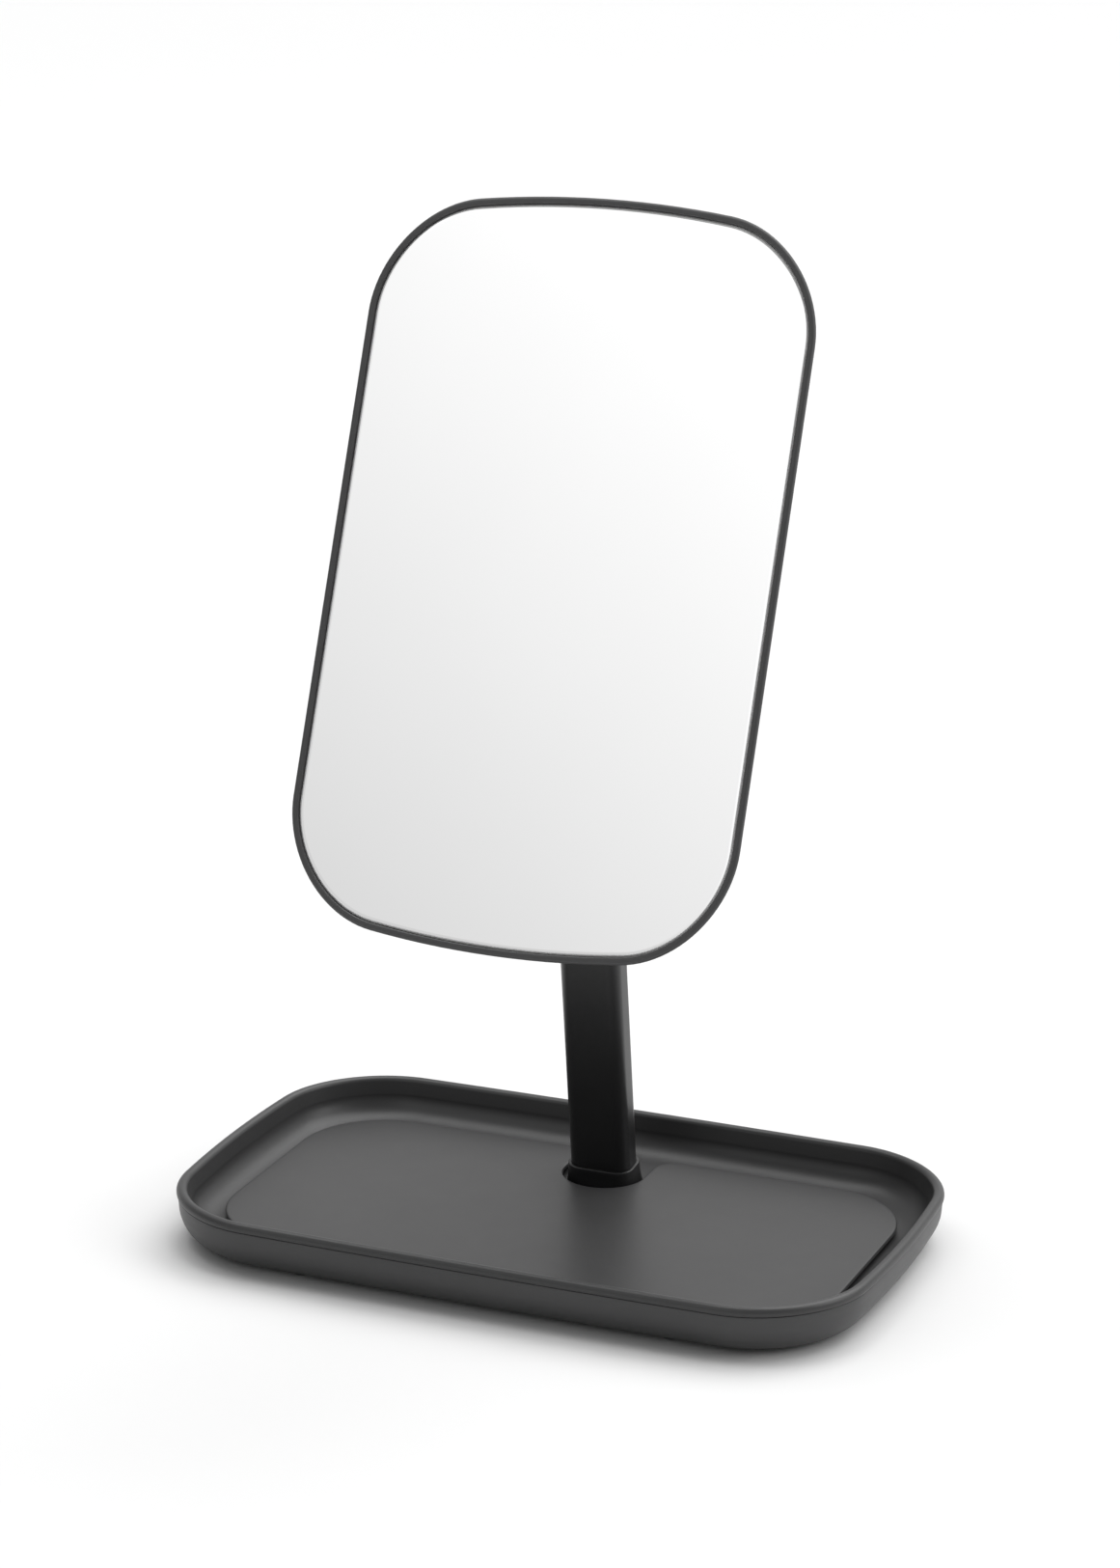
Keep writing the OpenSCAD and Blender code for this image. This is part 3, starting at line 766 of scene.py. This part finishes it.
class BuildMirror(bpy.types.Operator):
    """Slim frame, silvered glass with its ground edge, and the back cover"""

    bl_idname = "table_mirror.mirror"
    bl_label = "Mirror"

    def execute(self, context):
        matrix = in_mirror()
        nose, inner, heel = 1.15 * MM, 0.55 * MM, 0.6 * MM
        taper = (FRAME_DEPTH - nose) * math.tan(FRAME_DRAFT)
        well = taper + 1.4 * MM
        profile = [(well, -FRAME_DEPTH)]
        profile += arc((taper + heel, heel - FRAME_DEPTH), (-heel, -heel), 90, 15, 4)
        profile += arc((nose, -nose), (-nose, nose), -20, 90, 10)
        profile += arc((FRAME_LIP - inner, -inner), (inner, inner), 90, 0, 5)
        profile += [(FRAME_LIP, -GLASS_FRONT)]
        hoop = skin("frame_hoop", rings(mirror_outline, profile), closed=True, matrix=matrix)
        finished(hoop, "mirror", "frame_plastic", "frame_plastic", "mirror_frame")

        ground = FRAME_LIP + settings().glass_bevel
        rear = -GLASS_FRONT - GLASS_T
        band = [(ground + 0.2 * MM, rear), (FRAME_LIP + 0.2 * MM, -GLASS_FRONT - 0.55 * MM)]
        band += [(ground, -GLASS_FRONT), (ground + 0.6 * MM, rear)]
        edge = skin("ground_band", rings(mirror_outline, band), closed=True, matrix=matrix)
        finished(edge, "mirror", "ground_edge", "silvered_glass")
        plate = [(ground + 0.6 * MM, rear), (ground, -GLASS_FRONT - 0.02 * MM)]
        plate += [(ground + 0.05 * MM, -GLASS_FRONT), (ground + 1 * MM, -GLASS_FRONT)]
        glass = skin("looking_glass", rings(mirror_outline, plate), matrix=matrix)
        finished(glass, "mirror", "silvering", "silvered_glass", "mirror_glass")

        rear_edge = arc((well + 2.5 * MM, 0.8 * MM - BACK_REAR), (-2.4 * MM, -0.8 * MM), 90, 0, 8)
        cover = [(well + 4 * MM, -BACK_REAR)] + rear_edge + [(well - 0.8 * MM, -BACK_FRONT)]
        back = skin("back_cover", rings(mirror_outline, cover), matrix=matrix)
        finished(back, "mirror", "back_plastic", "back_plastic", "mirror_back")
        return {"FINISHED"}


class BuildHinge(bpy.types.Operator):
    """Yoke, bracket and caps with rounded edges"""

    bl_idname = "table_mirror.hinge"
    bl_label = "Hinge"

    def execute(self, context):
        width = settings().edge_soften
        bodies = {"hinge_yoke": "base", "head_cap": "base", "nut_cap": "base", "mirror_bracket": "mirror"}
        for node, body in bodies.items():
            finished(softened(node, width), body, "hinge_plastic", "hinge_plastic", node)
        return {"FINISHED"}


class BuildHardware(bpy.types.Operator):
    """Screws, feet and the small pieces that keep the shape they have in the frame"""

    bl_idname = "table_mirror.hardware"
    bl_label = "Hardware"

    def execute(self, context):
        countersunk = {
            "head_radius": SCREW_HEAD_R, "head_height": 1.1 * MM,
            "shank_radius": 1.2 * MM, "recess": 2.6 * MM,
        }
        under = BASE_LOW.z + SEAT
        places = [(x, y, under) for x, y in base_screw_places()]
        piece = screws("base_screw_set", places, (0, 0, 1), "plated_steel", length=3.4 * MM, **countersunk)
        finished(piece, "base", "plated_steel", "steel", "base_screws")
        mirror = in_mirror()
        rear = -BACK_REAR - BRACKET_T
        x, y = BRACKET_SPREAD
        places = [mirror @ Vector((sx * x, sy * y, rear)) for sx in (-1, 1) for sy in (-1, 1)]
        axis = mirror.to_3x3() @ Vector((0, 0, 1))
        piece = screws("bracket_screw_set", places, axis, "plated_steel", length=4.6 * MM, **countersunk)
        finished(piece, "mirror", "plated_steel", "steel", "bracket_screws")
        stem = in_stem()
        middle = (PIVOT - STEM_FOOT).length - STEM_SHORT - YOKE_SCREW_DEPTH
        heights = [middle + side * YOKE_SCREW_PITCH / 2 for side in (-1, 1)]
        places = [stem @ Vector((0, YOKE_SCREW_OUT, height)) for height in heights]
        axis = stem.to_3x3() @ Vector((0, -1, 0))
        grub = {
            "head_radius": 1.48 * MM, "head_height": 1.0 * MM, "shank_radius": 1.45 * MM, "recess": 1.7 * MM,
        }
        piece = screws("yoke_screw_set", places, axis, "plated_steel", length=5.5 * MM, **grub)
        finished(piece, "base", "plated_steel", "steel", "yoke_screws")
        finished(softened("feet", 0.5 * MM), "base", "foot_rubber", "foot_rubber", "feet")
        carried = {
            "ballast_plate": "raw_steel", "stem_foot_plug": "raw_steel", "stem_bolt": "plated_steel",
            "hinge_pin": "plated_steel", "spring_washer": "plated_steel", "hinge_nut": "plated_steel",
            "friction_washers": "nylon", "glass_adhesive": "foam",
        }
        for node, finish in carried.items():
            materials = frame["nodes"][node].data.materials
            materials.clear()
            materials.append(finish_for(finish))
        return {"FINISHED"}


class BuildStage(bpy.types.Operator):
    """Pale floor, soft lights, the card that the glass reflects, and the camera"""

    bl_idname = "table_mirror.stage"
    bl_label = "Stage"

    def execute(self, context):
        s = settings()
        scene = context.scene
        scene.view_settings.view_transform = "Standard"
        self.add_floor()
        self.add_sky(s.sky_strength)
        self.add_lights(s.key_strength)
        self.add_card()
        camera = bpy.data.objects.new("camera", bpy.data.cameras.new("camera"))
        camera.data.lens = CAMERA_LENS
        camera.data.sensor_width = 36
        camera.location = CAMERA_PLACE
        camera.rotation_euler = (math.pi / 2 - CAMERA_DROP, 0, CAMERA_TURN)
        scene.collection.objects.link(camera)
        scene.camera = camera
        return {"FINISHED"}

    def add_floor(self):
        thick, reach = 0.02, 9
        floor = cylinder("floor", reach, thick, Matrix.Translation((0, 0, -thick)), 64)
        paint = Finish("floor_paint", Specular_IOR_Level=0.2, Roughness=0.75)
        drift = paint.noise(0.6, 2.0, 0.5)
        # Painted shade: the floor's colour is darker within 0.6 m of the origin and reaches full brightness
        # past 1.7 m, cancelling the lamps' extra light near the tray.
        away = paint.node("ShaderNodeVectorMath", {"operation": "LENGTH"}, {0: paint.place()}, "Value")
        out_of_painted_shade = away.step(0.6, 1.7)
        paint.set(Base_Color=paint.shade((0.9, 0.9, 0.9), 0.84 + out_of_painted_shade * 0.155 + drift * 0.01))
        floor.data.materials.append(paint.material)

    def add_sky(self, strength):
        world = bpy.data.worlds.new("studio")
        world.use_nodes = True
        tree = world.node_tree
        background = tree.nodes["Background"]
        background.inputs["Color"].default_value = (1, 1, 1, 1)

        def node(kind, **values):
            made = tree.nodes.new(kind)
            for key, value in values.items():
                made.inputs[key.replace("_", " ")].default_value = value
            return made

        seen = node("ShaderNodeLightPath")
        way = node("ShaderNodeSeparateXYZ")
        dim, bright = 0.7 * strength, 1.7 * strength
        behind = node("ShaderNodeMapRange", From_Min=-0.1, From_Max=0.9, To_Min=dim, To_Max=bright)
        level = node("ShaderNodeMix", B=1.0)
        tree.links.new(node("ShaderNodeTexCoord").outputs["Generated"], way.inputs[0])
        tree.links.new(way.outputs["Y"], behind.inputs["Value"])
        tree.links.new(behind.outputs[0], level.inputs["A"])
        tree.links.new(seen.outputs["Is Camera Ray"], level.inputs["Factor"])
        tree.links.new(level.outputs["Result"], background.inputs["Strength"])
        bpy.context.scene.world = world

    def add_lights(self, strength):
        sun = bpy.data.lights.new("key", "SUN")
        sun.energy = strength
        sun.angle = math.radians(55)
        holder = bpy.data.objects.new("key", sun)
        holder.rotation_euler = Vector((0.35, 0.75, 1.5)).to_track_quat("Z", "Y").to_euler()
        bpy.context.scene.collection.objects.link(holder)
        boxes = {
            "side_box": ((1.5, 0.2, 0.9), (0.0, 0.0, 0.05), 0.9, 7.0),
            "top_box": ((-0.55, 0.1, 1.5), (0.0, 0.0, 0.05), 0.8, 6.5),
        }
        for name, (place, target, size, power) in boxes.items():
            lamp = bpy.data.lights.new(name, "AREA")
            lamp.size = size
            lamp.energy = power
            holder = bpy.data.objects.new(name, lamp)
            holder.location = place
            holder.rotation_euler = (Vector(place) - Vector(target)).to_track_quat("Z", "Y").to_euler()
            bpy.context.scene.collection.objects.link(holder)

    def add_card(self):
        """Gradient card, seen only in reflections: white up on the right, light grey down on the left."""
        away = Vector((-0.37, -0.83, 0.41)).normalized()
        centre = Vector((0, -0.009, 0.234)) + away * 2.2
        side = Vector((0, 0, 1)).cross(away).normalized()
        up = away.cross(side)
        half = 0.9
        corners = [centre + side * x * half + up * y * half for x, y in ((-1, -1), (1, -1), (1, 1), (-1, 1))]
        mesh = bpy.data.meshes.new("card")
        mesh.from_pydata([tuple(c) for c in corners], [], [(0, 1, 2, 3)])
        layer = mesh.uv_layers.new(name="card")
        for corner, uv in zip(layer.data, ((0, 0), (1, 0), (1, 1), (0, 1))):
            corner.uv = uv
        card = mesh_object("card", mesh)
        material = bpy.data.materials.new("card_glow")
        material.use_nodes = True
        tree = material.node_tree
        tree.nodes.clear()
        place = tree.nodes.new("ShaderNodeUVMap")
        ramp = tree.nodes.new("ShaderNodeValToRGB")
        split = tree.nodes.new("ShaderNodeVectorMath")
        split.operation = "DOT_PRODUCT"
        split.inputs[1].default_value = (0.45, 0.9, 0)
        shift = tree.nodes.new("ShaderNodeMath")
        shift.operation = "ADD"
        shift.inputs[1].default_value = -0.175
        glow = tree.nodes.new("ShaderNodeEmission")
        out = tree.nodes.new("ShaderNodeOutputMaterial")
        ramp.color_ramp.elements[0].position = 0.3
        ramp.color_ramp.elements[0].color = (0.66, 0.66, 0.66, 1)
        ramp.color_ramp.elements[1].position = 0.66
        ramp.color_ramp.elements[1].color = (1.06, 1.06, 1.06, 1)
        tree.links.new(place.outputs[0], split.inputs[0])
        tree.links.new(split.outputs["Value"], shift.inputs[0])
        tree.links.new(shift.outputs[0], ramp.inputs[0])
        tree.links.new(ramp.outputs[0], glow.inputs["Color"])
        tree.links.new(glow.outputs[0], out.inputs[0])
        card.data.materials.append(material)
        for way in ("camera", "diffuse", "transmission", "volume_scatter", "shadow"):
            setattr(card, "visible_" + way, False)


class TableMirrorPanel(bpy.types.Panel):
    """Lists the pieces in the sidebar"""

    bl_idname = "VIEW3D_PT_table_mirror"
    bl_label = "Table mirror"
    bl_space_type = "VIEW_3D"
    bl_region_type = "UI"
    bl_category = "Table mirror"

    def draw(self, context):
        for name in TableMirrorSettings.__annotations__:
            self.layout.prop(context.scene.table_mirror, name)
        for operator in OPERATORS:
            self.layout.operator(operator.bl_idname)


OPERATORS = (BuildStage, BuildTray, BuildCasing, BuildMat, BuildStem, BuildMirror, BuildHinge, BuildHardware)
CLASSES = (TableMirrorSettings, *OPERATORS, TableMirrorPanel)


def register():
    for cls in CLASSES:
        bpy.utils.register_class(cls)
    bpy.types.Scene.table_mirror = PointerProperty(type=TableMirrorSettings)


def unregister():
    del bpy.types.Scene.table_mirror
    for cls in reversed(CLASSES):
        bpy.utils.unregister_class(cls)


def main():
    register()
    for operator in OPERATORS:
        group, name = operator.bl_idname.split(".")
        getattr(getattr(bpy.ops, group), name)()


if __name__ == "__main__":
    main()
